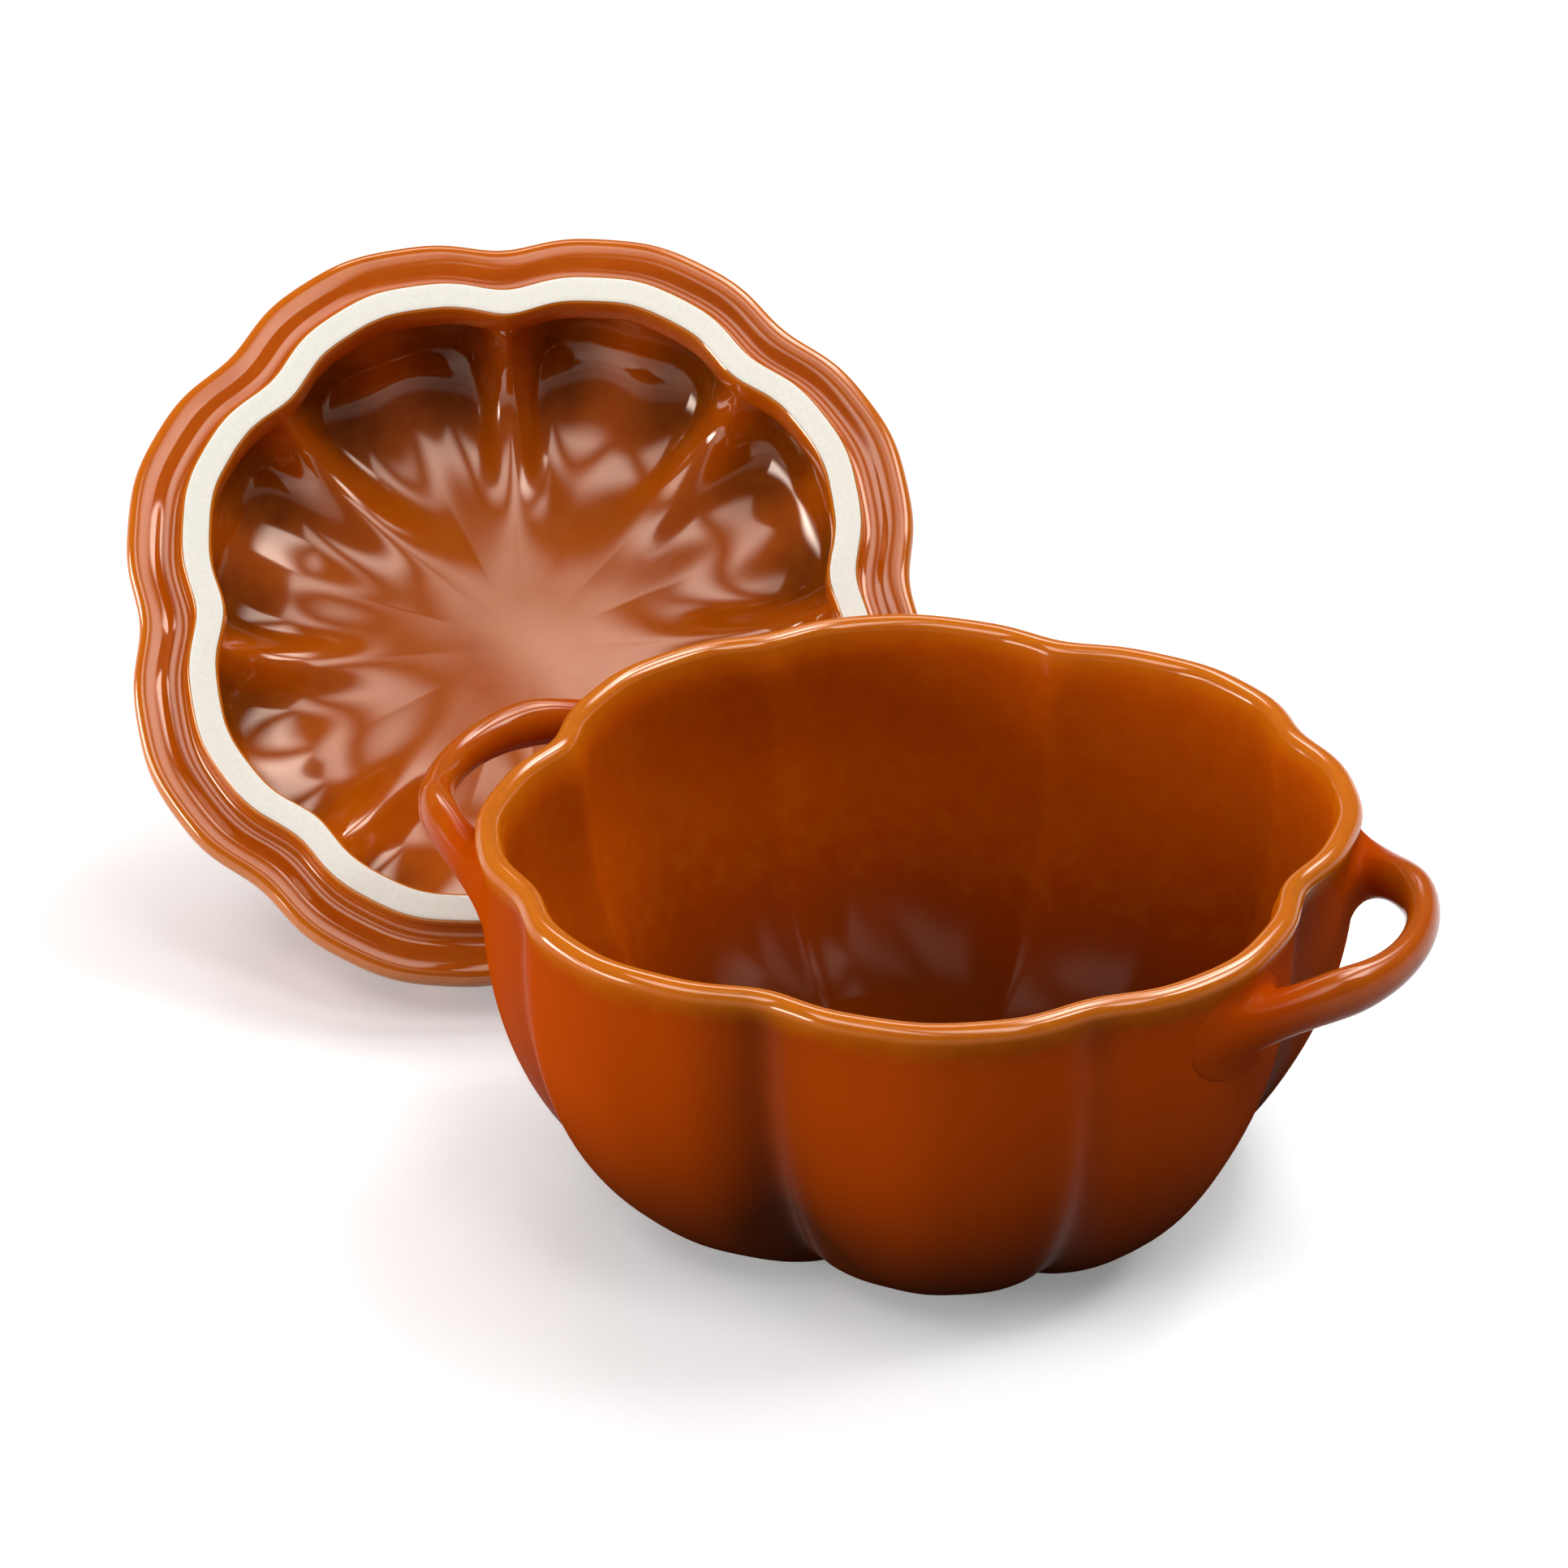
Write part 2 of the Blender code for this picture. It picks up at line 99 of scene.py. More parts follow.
def wall_radius(z):
    """Mean radius of the outer wall at a height."""
    rise = 1.0 - np.clip(z / BELLY_HEIGHT, 0.0, 1.0)
    upright = RIM_RADIUS + LIP_RADIUS - LIP_PROUD
    neck = np.clip((z - POT_HEIGHT + NECK_DEPTH) / (NECK_DEPTH - LIP_RADIUS), 0.0, 1.0)
    return FOOT_RADIUS + (upright - FOOT_RADIUS) * (1.0 - rise ** 2) ** BELLY_FULLNESS + LIP_PROUD * neck


def smooth_line(points, per_span):
    """Points on a Catmull-Rom curve through a profile's corner points."""
    ends = [2 * np.array(points[0]) - points[1], *map(np.array, points), 2 * np.array(points[-1]) - points[-2]]
    line = []
    for a, b, c, d in zip(ends, ends[1:], ends[2:], ends[3:]):
        for t in np.arange(per_span) / per_span:
            line.append(b + 0.5 * t * (c - a + t * (2 * a - 5 * b + 4 * c - d + t * (3 * (b - c) + d - a))))
    return np.array([*line, ends[-2]])


def offset(path, distance):
    """Move a profile's points along its left-hand normal."""
    along = np.gradient(path, axis=0)
    along /= np.linalg.norm(along, axis=1)[:, None]
    return path + distance * np.column_stack((-along[:, 1], along[:, 0]))


def soft_step(low, high, value):
    """0 at low and 1 at high, with a smooth rise between them."""
    t = np.clip((value - low) / (high - low), 0.0, 1.0)
    return t * t * (3 - 2 * t)


def skin(name, rows, **paint):
    """Closed mesh over rows of points; paint gives point attributes as arrays over the same rows."""
    count, sides = rows.shape[:2]
    across = np.arange(sides)
    start = (np.arange(count - 1) * sides)[:, None]
    beside = (across + 1) % sides
    quads = np.stack((start + across, start + beside, start + sides + beside, start + sides + across), -1)
    mesh = bpy.data.meshes.new(name)
    mesh.from_pydata(rows.reshape(-1, 3).tolist(), [], quads.reshape(-1, 4).tolist())
    for label, values in paint.items():
        layer = mesh.attributes.new(label, "FLOAT", "POINT")
        layer.data.foreach_set("value", np.broadcast_to(values, (count, sides)).astype(np.float32).ravel())
    bm = bmesh.new()
    bm.from_mesh(mesh)
    bmesh.ops.remove_doubles(bm, verts=bm.verts, dist=SAME_POINT)
    bmesh.ops.recalc_face_normals(bm, faces=bm.faces)
    bm.to_mesh(mesh)
    bm.free()
    mesh.shade_smooth()
    piece = bpy.data.objects.new(name, mesh)
    bpy.context.scene.collection.objects.link(piece)
    return piece


wall_heights = BELLY_HEIGHT * (1.0 - np.cos(np.linspace(0.0, math.pi / 2, WALL_ROWS)))
upright_heights = np.linspace(BELLY_HEIGHT, POT_HEIGHT - NECK_DEPTH, UPRIGHT_ROWS)[1:]
wall_heights = np.append(wall_heights, upright_heights)
outer_wall = np.column_stack((wall_radius(wall_heights), wall_heights))
inner_wall = offset(outer_wall, WALL)
above_heel = inner_wall[:, 1] > HEEL_HEIGHT
outer_wall[0] = (FOOT_RADIUS, FOOT_BEVEL[1])
floor_line = [(r, WALL) for r in np.linspace(0.0, FLOOR_RADIUS, FLOOR_ROWS)]
base_line = [(r, 0.0) for r in np.linspace(FOOT_RADIUS - FOOT_BEVEL[0], 0.0, BASE_ROWS)]
lip_turns = np.linspace(0.0, math.pi, LIP_ROWS)
lip_line = np.column_stack((RIM_RADIUS - LIP_RADIUS * np.cos(lip_turns),
                            POT_HEIGHT - LIP_RADIUS + LIP_RADIUS * np.sin(lip_turns)))
neck_span = slice(NECK_ROWS, 2 * NECK_ROWS)
neck_in = smooth_line([inner_wall[-2], inner_wall[-1], lip_line[0], lip_line[1]], NECK_ROWS)[neck_span]
neck_out = smooth_line([lip_line[-2], lip_line[-1], outer_wall[-1], outer_wall[-2]], NECK_ROWS)[neck_span]
bowl_line = np.vstack((floor_line, inner_wall[above_heel][:-1], neck_in, lip_line, neck_out[1:],
                       outer_wall[::-1], base_line))

bowl_angles = np.linspace(0.0, 2 * math.pi, BOWL_COLUMNS, endpoint=False)[None, :]
line_r, line_z = bowl_line[:, :1], bowl_line[:, 1:]
fade = np.minimum(1.0, (line_r / FOOT_RADIUS) ** 2)
outside = (np.arange(len(bowl_line)) > np.argmax(bowl_line[:, 1]))[:, None]
under_lip = soft_step(POT_HEIGHT - CREASE_START[0], POT_HEIGHT - CREASE_START[1], line_z)
fold = NOTCH_CREASE * np.where(outside, 1.0, CREASE_INSIDE) * under_lip * near_notch(bowl_angles, CREASE_WIDTH)
bowl_swing = flute(bowl_angles, bowl_deep(line_z)) - fold
bowl_radius = line_r + fade * bowl_swing
bowl_rows = np.stack((bowl_radius * np.cos(bowl_angles), bowl_radius * np.sin(bowl_angles),
                      np.broadcast_to(line_z, bowl_radius.shape)), -1)

# How the glaze lies on the bowl: thin and glossy over the lip, thick in the notches; painted shade towards the
# base.
LIP_BREAK = (0.0010, 0.0085)      # from the lip's crest, where the thin glaze starts to thicken and where it ends
LIP_GOLD = 0.70
INSIDE_GOLD = 0.25
INSIDE_RISE = (0.010, 0.040)      # heights between which the inner wall's glaze thins
NOTCH_POOL = 0.45
NOTCH_BOTTOM = -0.006             # inward swing at which the glaze in a notch is thickest
# painted shade: the glaze is drawn darker towards the base, outside and inside, where shade falls
BASE_SHADE = (0.95, 0.85)          # outside and inside
BASE_SHADE_TOP = 0.65 * POT_HEIGHT
LIP_GLOSS = (0.0016, 0.0038)      # from the crest, where the lip's gloss starts to dull and where it ends
LIP_IOR = 1.95
OUTSIDE_IOR = 1.15
INSIDE_IOR = (1.10, 1.21)         # on the inner wall and on the floor
FLOOR_BLEND = (0.045, 0.015)      # heights between which one passes into the other
FOLD_SHEEN = 0.4
FOLD_SHEEN_WIDTH = 1.2 * CREASE_WIDTH
FOLD_SHEEN_RISE = (0.008, 0.030)  # heights over which it comes in
to_crest = np.hypot(line_r - RIM_RADIUS, line_z - POT_HEIGHT)
bowl_thin = np.maximum(np.where(outside, 0.0, INSIDE_GOLD * soft_step(*INSIDE_RISE, line_z)),
                       LIP_GOLD * (1.0 - soft_step(*LIP_BREAK, to_crest)))
bowl_pool_and_shade = np.where(outside, NOTCH_POOL * soft_step(0.0, NOTCH_BOTTOM, bowl_swing) * fade, 0.0)
# painted shade, darker towards the base
bowl_pool_and_shade += np.where(outside, *BASE_SHADE) * soft_step(BASE_SHADE_TOP, 0.0, line_z)
by_lip = 1.0 - soft_step(*LIP_GLOSS, to_crest)
by_fold = under_lip * outside * near_notch(bowl_angles, FOLD_SHEEN_WIDTH) * soft_step(*FOLD_SHEEN_RISE, line_z)
inside_ior = INSIDE_IOR[0] + (INSIDE_IOR[1] - INSIDE_IOR[0]) * soft_step(*FLOOR_BLEND, line_z)
wall_ior = np.where(outside, OUTSIDE_IOR, inside_ior)
bowl_ior = wall_ior + (LIP_IOR - wall_ior) * by_lip
bowl_bare = (line_z == 0.0) * soft_step(0.0, WIPED_EDGE, line_r - FOOT_RING[0]) \
    * soft_step(0.0, WIPED_EDGE, FOOT_RING[1] - line_r)
bowl = skin("bowl_body", bowl_rows, glaze_thin=bowl_thin, glaze_pool=bowl_pool_and_shade, ior=bowl_ior,
            sheen=np.maximum(by_lip, FOLD_SHEEN * by_fold), bare=bowl_bare)


def colour(hex_code):
    """Linear colour of an sRGB hex value."""
    parts = [int(hex_code[i:i + 2], 16) / 255 for i in (1, 3, 5)]
    return (*(p / 12.92 if p <= 0.04045 else ((p + 0.055) / 1.055) ** 2.4 for p in parts), 1.0)


def add_node(tree, kind, inputs=None, **settings):
    """Add a node, give its settings, and set or link its inputs."""
    node = tree.nodes.new(kind)
    for key, value in settings.items():
        setattr(node, key, value)
    for key, value in (inputs or {}).items():
        if isinstance(value, bpy.types.NodeSocket):
            tree.links.new(value, node.inputs[key])
        else:
            node.inputs[key].default_value = value
    return node


# Amber iron glaze on white stoneware: a glassy coat, dark orange-brown where it is thick, and golden where
# it breaks thin over an edge. Its dark colour is also used for painted shade. On the walls it is silky and
# loses its gloss as it turns away; on edges and under the lid it is glossy. The bare body under it is off-white,
# dry and finely pitted.
# dark colour of thick glaze, also used for painted shade
GLAZE_DEEP_AND_SHADE = "#521F02"
GLAZE_BODY = "#B84401"
GLAZE_THIN = "#DA7D10"
GLAZE_LINE = "#A8640F"            # the thin line where the glaze ends on the bare body
GLAZE_TINT = (1.0, 0.82, 0.68, 1.0)   # the iron in it warms what it reflects
GLAZE_ROUGHNESS = 0.07
SILKY_ROUGHNESS = 0.20
GRAZING_LOSS = 4.0                # how fast a silky place loses its gloss as it turns away
PLAIN_LEVEL = 0.5                 # the shader's specular level that leaves its IOR as it is
BISQUE = "#F3F0E7"
BISQUE_SHADE = "#E2DED2"
BISQUE_ROUGHNESS = 0.75
MOTTLE = 0.024                    # size of the soft patches in the glaze, in metres
MOTTLE_SHARE = 0.22               # how much thicker they make it
FINE_MOTTLE = MOTTLE / 6          # size of the patches that break up its edges
EDGE_BREAK = 0.3                  # how far they shift the golden edges
EDGE_RANGE = (0.24, 1.3)          # thinness where the glaze starts to turn golden and where it is all golden
BARE_BREAK = 0.25                 # how far they shift the edge of the bare body
BARE_RANGE = (0.55, 0.72)         # where the glaze gives way to the bare body
LINE_RANGE = (0.16, 0.52)         # where the line round it sets in
RIPPLE = 0.012                    # length of the slow waves in its surface
GRIT = 0.0006                     # size of the pits in the bare body
RELIEF_STRENGTH = 0.05
RELIEF_HEIGHT = 0.001


def amber_glaze():
    """Glaze steered by the point attributes: its thinness, its pools and painted shade, bare places, IOR and
    sheen.
    """
    material = bpy.data.materials.new("amber_glaze_on_stoneware")
    material.use_nodes = True
    tree = material.node_tree
    tree.nodes.clear()
    place = add_node(tree, "ShaderNodeTexCoord").outputs["Object"]
    thin, pool, bare, ior, sheen = (
        add_node(tree, "ShaderNodeAttribute", attribute_name=label).outputs["Fac"]
        for label in ("glaze_thin", "glaze_pool", "bare", "ior", "sheen"))
    turned = add_node(tree, "ShaderNodeLayerWeight", {"Blend": 0.5}).outputs["Facing"]
    ahead = add_node(tree, "ShaderNodeMath", {0: 1.0, 1: turned}, operation="SUBTRACT").outputs[0]
    ahead = add_node(tree, "ShaderNodeMath", {0: ahead, 1: GRAZING_LOSS}, operation="POWER").outputs[0]
    gloss = add_node(tree, "ShaderNodeMapRange", {"Value": sheen, "To Min": ahead, "To Max": 1.0}).outputs[0]
    level = add_node(tree, "ShaderNodeMath", {0: gloss, 1: PLAIN_LEVEL}, operation="MULTIPLY").outputs[0]
    mottle = add_node(tree, "ShaderNodeTexNoise", {"Vector": place, "Scale": 1 / MOTTLE, "Detail": 2.0})
    fine = add_node(tree, "ShaderNodeTexNoise", {"Vector": place, "Scale": 1 / FINE_MOTTLE, "Detail": 3.0})
    # thicker glaze, and shade painted in as if it were thicker glaze, darken the colour
    thick_and_shade = add_node(tree, "ShaderNodeMath", {0: mottle.outputs["Fac"], 1: MOTTLE_SHARE, 2: pool},
                     operation="MULTIPLY_ADD", use_clamp=True)
    body = add_node(tree, "ShaderNodeMix", {"Factor": thick_and_shade.outputs[0], "A": colour(GLAZE_BODY),
                    "B": colour(GLAZE_DEEP_AND_SHADE)}, data_type="RGBA")
    broken = add_node(tree, "ShaderNodeMath", {0: fine.outputs["Fac"], 1: EDGE_BREAK, 2: thin},
                      operation="MULTIPLY_ADD")
    edge = add_node(tree, "ShaderNodeMapRange", {"Value": broken.outputs[0], "From Min": EDGE_RANGE[0],
                    "From Max": EDGE_RANGE[1]})
    glaze = add_node(tree, "ShaderNodeMix", {"Factor": edge.outputs[0], "A": body.outputs["Result"],
                     "B": colour(GLAZE_THIN)}, data_type="RGBA")
    grit = add_node(tree, "ShaderNodeTexNoise", {"Vector": place, "Scale": 1 / GRIT, "Detail": 2.0})
    clay = add_node(tree, "ShaderNodeMix", {"Factor": grit.outputs["Fac"], "A": colour(BISQUE),
                    "B": colour(BISQUE_SHADE)}, data_type="RGBA")
    wander = add_node(tree, "ShaderNodeMath", {0: fine.outputs["Fac"], 1: BARE_BREAK, 2: bare},
                      operation="MULTIPLY_ADD")
    dry = add_node(tree, "ShaderNodeMapRange", {"Value": wander.outputs[0], "From Min": BARE_RANGE[0],
                   "From Max": BARE_RANGE[1]}, interpolation_type="SMOOTHSTEP")
    rim = add_node(tree, "ShaderNodeMapRange", {"Value": wander.outputs[0], "From Min": LINE_RANGE[0],
                   "From Max": LINE_RANGE[1]}, interpolation_type="SMOOTHSTEP")
    lined = add_node(tree, "ShaderNodeMix", {"Factor": rim.outputs[0], "A": glaze.outputs["Result"],
                     "B": colour(GLAZE_LINE)}, data_type="RGBA")
    surface = add_node(tree, "ShaderNodeMix", {"Factor": dry.outputs[0], "A": lined.outputs["Result"],
                       "B": clay.outputs["Result"]}, data_type="RGBA")
    rough = add_node(tree, "ShaderNodeMapRange", {"Value": sheen, "To Min": SILKY_ROUGHNESS,
                     "To Max": GLAZE_ROUGHNESS})
    rough = add_node(tree, "ShaderNodeMapRange", {"Value": dry.outputs[0], "To Min": rough.outputs[0],
                     "To Max": BISQUE_ROUGHNESS})
    waves = add_node(tree, "ShaderNodeTexNoise", {"Vector": place, "Scale": 1 / RIPPLE, "Detail": 0.0})
    relief = add_node(tree, "ShaderNodeMix", {"Factor": dry.outputs[0], "A": waves.outputs["Fac"],
                      "B": grit.outputs["Fac"]}, data_type="FLOAT")
    bump = add_node(tree, "ShaderNodeBump", {"Height": relief.outputs["Result"], "Strength": RELIEF_STRENGTH,
                    "Distance": RELIEF_HEIGHT})
    shader = add_node(tree, "ShaderNodeBsdfPrincipled", {"Base Color": surface.outputs["Result"],
                      "Roughness": rough.outputs[0], "IOR": ior, "Specular IOR Level": level,
                      "Specular Tint": GLAZE_TINT, "Normal": bump.outputs["Normal"]})
    add_node(tree, "ShaderNodeOutputMaterial", {"Surface": shader.outputs["BSDF"]})
    return material


glaze = amber_glaze()
bowl.data.materials.append(glaze)
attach(bowl, "pot_body")
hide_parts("bowl")

# Handles
# Two slim loops of the same clay, pulled by hand and luted over opposite notches while leather-hard.
# Slip smooths the joint, so each root runs out into the wall, and the glaze breaks golden along the bar.
HANDLE_STAND = 0.0166             # how far the middle of the bar stands out of the lip's centre line
HANDLE_SPAN = 0.0260              # half the length of the loop's oval along the wall
HANDLE_DROP = 0.0088              # from the bowl's top down to the middle of the bar
BAR_WIDTH = 0.0056
BAR_HEIGHT = 0.0072
BAR_SWELL = 0.26                  # the bar thickens by this share towards its roots
LOOP_SQUARENESS = 0.8             # 1 is an ellipse, a smaller value is squarer
LOOP_DEPTH = 0.0080               # how far inside the wall the loop's oval is drawn from
BAR_END = math.radians(44.0)      # turn along the loop where the bar starts to run out into the wall
ROOT_BEARING = math.radians(23.0)     # middle of a root's print on the wall
PRINT_WIDTH = 0.0125              # half width and half height of that print
PRINT_HEIGHT = 0.0092
PRINT_DROP = 0.0042               # its middle lies this far under the bar's
PRINT_SINK = 0.00012              # its edge lies this far under the wall's surface
PRINT_INNER = 0.9                 # size of the ring inside its edge that gives the direction of its spread
PLUG = (0.8, 0.0015)              # size and depth of the ring that closes a root inside the wall
RUN_OUT = 0.0075                  # pull of the bar's and the wall's directions on the curve between them
SLIP_STROKES = 12                 # passes that smooth the bar into its roots
KEPT_ROWS = 3                     # rows at each end that they leave alone
BAR_ROWS, ROOT_ROWS, BAR_COLUMNS = 41, 20, 48
BAR_SHARE = (0.50, 0.80)          # of half the loop, where the bar's glaze passes into the wall's
BAR_GOLD = (0.18, 0.16)           # on its sides, and how much more on top
BAR_POOL = 0.12
BAR_GLOSS = (0.25, 0.30)          # gain in IOR along the bar, and on top of it
BAR_SHEEN = (0.3, 0.6)


def bar_ring(turn):
    """Oval section of the bar, square to its path, and the direction of the path."""
    start = wall_radius(POT_HEIGHT - HANDLE_DROP) - LOOP_DEPTH
    reach = RIM_RADIUS + HANDLE_STAND - start
    middle = np.array((start + reach * math.cos(turn) ** LOOP_SQUARENESS, HANDLE_SPAN * math.sin(turn),
                       POT_HEIGHT - HANDLE_DROP))
    ahead = np.array((-reach * LOOP_SQUARENESS * math.cos(turn) ** (LOOP_SQUARENESS - 1) * math.sin(turn),
                      HANDLE_SPAN * math.cos(turn), 0.0))
    ahead /= np.linalg.norm(ahead)
    across = np.array((ahead[1], -ahead[0], 0.0))
    upright = np.array((0.0, 0.0, 1.0))
    grow = 1.0 + BAR_SWELL * (turn / BAR_END) ** 2
    side = np.linspace(0.0, 2 * math.pi, BAR_COLUMNS, endpoint=False)[:, None]
    oval = BAR_WIDTH / 2 * np.cos(side) * across + BAR_HEIGHT / 2 * np.sin(side) * upright
    return middle + grow * oval, ahead


def wall_spot(angle, z, sink):
    """Points a little under the bowl's outer wall."""
    radius = wall_radius(z) + flute(angle, bowl_deep(z)) - sink
    return np.column_stack((radius * np.cos(angle), radius * np.sin(angle), z))


def root_rings(hand):
    """Rings from the bar's end out over the wall, ending just under its surface and closed inside it."""
    ring, ahead = bar_ring(hand * BAR_END)
    side = np.linspace(0.0, 2 * math.pi, BAR_COLUMNS, endpoint=False)
    low = POT_HEIGHT - HANDLE_DROP - PRINT_DROP

    def print_ring(size, sink):
        angle = hand * (ROOT_BEARING + size * PRINT_WIDTH / RIM_RADIUS * np.cos(side))
        return wall_spot(angle, low + size * PRINT_HEIGHT * np.sin(side), sink)

    rim = print_ring(1.0, PRINT_SINK)
    spread = rim - print_ring(PRINT_INNER, PRINT_SINK)
    spread /= np.linalg.norm(spread, axis=1)[:, None]
    first = ring + RUN_OUT * hand * ahead
    last = rim - RUN_OUT * spread
    rings = []
    for t in np.linspace(0.0, 1.0, ROOT_ROWS)[1:]:
        rings.append((1 - t) ** 3 * ring + 3 * t * (1 - t) ** 2 * first
                     + 3 * t * t * (1 - t) * last + t ** 3 * rim)
    rings.append(print_ring(*PLUG))
    rings.append(np.broadcast_to(rings[-1].mean(0), rim.shape))
    return rings


bar = [bar_ring(turn)[0] for turn in np.linspace(-BAR_END, BAR_END, BAR_ROWS)]
loop_rows = np.array([*reversed(root_rings(-1)), *bar, *root_rings(1)])
for _ in range(SLIP_STROKES):
    before, after = loop_rows[KEPT_ROWS - 1:-KEPT_ROWS - 1], loop_rows[KEPT_ROWS + 1:1 - KEPT_ROWS]
    loop_rows[KEPT_ROWS:-KEPT_ROWS] = (before + 2 * loop_rows[KEPT_ROWS:-KEPT_ROWS] + after) / 4
along_loop = np.abs(np.linspace(-1.0, 1.0, len(loop_rows)))[:, None]
bar_side = np.linspace(0.0, 2 * math.pi, BAR_COLUMNS, endpoint=False)[None, :]
on_bar = 1.0 - soft_step(*BAR_SHARE, along_loop)
on_top = on_bar * np.maximum(0.0, np.sin(bar_side))
for side_name, sign in (("right", 1.0), ("left", -1.0)):
    handle = skin(f"{side_name}_loop_handle", loop_rows * (sign, sign, 1.0),
                  glaze_thin=(BAR_GOLD[0] + BAR_GOLD[1] * np.sin(bar_side)) * on_bar, glaze_pool=BAR_POOL * on_bar,
                  ior=OUTSIDE_IOR + BAR_GLOSS[0] * on_bar + BAR_GLOSS[1] * on_top,
                  sheen=BAR_SHEEN[0] * on_bar + BAR_SHEEN[1] * on_top, bare=0.0)
    handle.data.materials.append(glaze)
    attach(handle, "pot_body")
    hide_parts(f"handle_{side_name}")

# Lid
# A lobed dome of the same stoneware, cast in a mould, so that its outer grooves stand inside as ridges.
# A ring under the flange drops inside the bowl's lip. It is wiped bare so that the two don't stick in the kiln.
LID_RADIUS = 0.0760               # mean radius of the flange's edge
FLANGE_BEAD = 0.0023              # half thickness of the rounded edge
BEAD_TURN = (60.0, -90.0)         # degrees round that edge
DOME_STEP = 0.0035                # the dome starts this far inside the edge
DOME_HEIGHT = 0.0410
DOME_WALL = 0.0052
CROWN_RAISED = 0.0025             # by this the underside's crown is drawn higher, before the swelling in it
DOME_FULLNESS = 2.3               # exponent of the dome's section, 2 is an ellipse
DOME_HOLLOW = (0.0035, 0.0240)    # depth and radius of the hollow round the stem
INSIDE_BUMP = (0.0070, 0.0380)    # rise and radius of the gentle swelling in the middle of its underside
INSIDE_RELIEF = 0.75              # share of the grooves' depth that comes through to the underside
DEEP_NOTCH_LID = 0.0012
LOBE_FADE = 1.5                   # above 1, the lobes die away faster than the radius towards the crown
GROOVE_DEPTH = 0.0062             # main grooves, pressed square into the shell
GROOVE_WIDTH = 0.0038             # half their width at the edge
GROOVE_SPREAD = 1.3               # share by which they would widen up to the crown
GROOVE_REACH = (0.0260, 0.0480)   # from the even hollow round the stem to where they have their full depth
INSIDE_REACH = (0.0120, 0.0460)   # the same on the underside, where the ridges run nearly to the middle
GROOVE_FADE = 0.0070              # height over the flange in which they run out
LESSER_SHARE = 0.46               # depth of the lesser groove down the middle of each lobe
LESSER_WIDTH = 0.0068
HAND_TOUCH = 0.16                 # how unlike the grooves are to each other
TOUCH_WAVES = (3, 1.0)            # waves of that round the lid, and the phase that they start with
SHELL_LEAN = 3.0                  # the higher, the nearer to the edge the grooves press inward instead of down
RING_RADIUS = 0.0656
RING_WIDTH = 0.0058
RING_HEIGHT = 0.0042
RING_EDGE = 0.0009
RING_FILLET = 0.0006              # at the ring's root, by the gutter
RING_SWELL = 0.0002               # its inner side bulges by this
GUTTER_DEPTH = 0.0014             # hollow between the ring and the flange
GUTTER_LINE = ((0.0715, 0.0003), (0.0693, 0.9 * GUTTER_DEPTH), (0.0675, GUTTER_DEPTH))
SHELF_HEIGHT = 0.0042
SHELF_ROUNDING = 0.0012
CORNER = 0.3                      # share of a rounding's radius that its middle lies in from the corner
LID_TILT = math.radians(-136.75)
LID_FACING = math.radians(29.0)
OUTSIDE_ROWS, INSIDE_ROWS, BEAD_ROWS, UNDER_ROWS = 52, 72, 12, 4
LID_COLUMNS = 480


def dome_line(radius, low, high, dip, dip_radius, rows):
    """Profile of a dome from its crown down, with a hollow in the crown."""
    turn = np.linspace(math.pi / 2, 0.0, rows)
    r = radius * np.maximum(np.cos(turn), 0.0) ** (2 / DOME_FULLNESS)
    r[0] = 0.0
    z = low + (high - low) * np.sin(turn) ** (2 / DOME_FULLNESS)
    return np.column_stack((r, z - dip * np.exp(-(r / dip_radius) ** 2)))


def pressed(radius, angle, reach=GROOVE_REACH):
    """Depth to which the grooves are pressed into the dome. They meet in an even hollow round the stem."""
    from_notch = radius * np.abs(np.arcsin(np.sin(LOBES * angle / 2))) * 2 / LOBES
    from_crest = radius * math.pi / LOBES - from_notch
    width = GROOVE_WIDTH * (1.0 + GROOVE_SPREAD * (1.0 - radius / LID_RADIUS))
    uneven = 1.0 + HAND_TOUCH * np.sin(TOUCH_WAVES[0] * angle + TOUCH_WAVES[1])
    main = np.exp(-(from_notch / width) ** 2) * uneven
    lesser = LESSER_SHARE * np.exp(-(from_crest / LESSER_WIDTH) ** 2) / uneven
    return GROOVE_DEPTH * (1.0 - soft_step(*reach, radius) * (1.0 - (main + lesser)))


ring_inside = RING_RADIUS - RING_WIDTH
ring_middle = RING_RADIUS - RING_WIDTH / 2
dome_radius = LID_RADIUS - DOME_STEP
dome_foot = 2 * FLANGE_BEAD
bead_turns = np.radians(np.linspace(*BEAD_TURN, BEAD_ROWS))
bead_line = np.column_stack((LID_RADIUS - FLANGE_BEAD + FLANGE_BEAD * np.cos(bead_turns),
                             FLANGE_BEAD + FLANGE_BEAD * np.sin(bead_turns)))
under_points = [
    bead_line[-1],
    *GUTTER_LINE,
    (RING_RADIUS + RING_FILLET, GUTTER_DEPTH - RING_FILLET),
    (RING_RADIUS, -RING_FILLET),
    (RING_RADIUS, RING_EDGE - RING_HEIGHT),
    (RING_RADIUS - CORNER * RING_EDGE, CORNER * RING_EDGE - RING_HEIGHT),
    (RING_RADIUS - RING_EDGE, -RING_HEIGHT),
    (ring_middle, -RING_HEIGHT),
    (ring_inside + RING_EDGE, -RING_HEIGHT),
    (ring_inside + CORNER * RING_EDGE, CORNER * RING_EDGE - RING_HEIGHT),
    (ring_inside, RING_EDGE - RING_HEIGHT),
    (ring_inside - RING_SWELL, 0.0),
    (ring_inside, SHELF_HEIGHT - SHELF_ROUNDING),
    (ring_inside + CORNER * SHELF_ROUNDING, SHELF_HEIGHT - CORNER * SHELF_ROUNDING),
    (ring_inside + SHELF_ROUNDING, SHELF_HEIGHT),
]
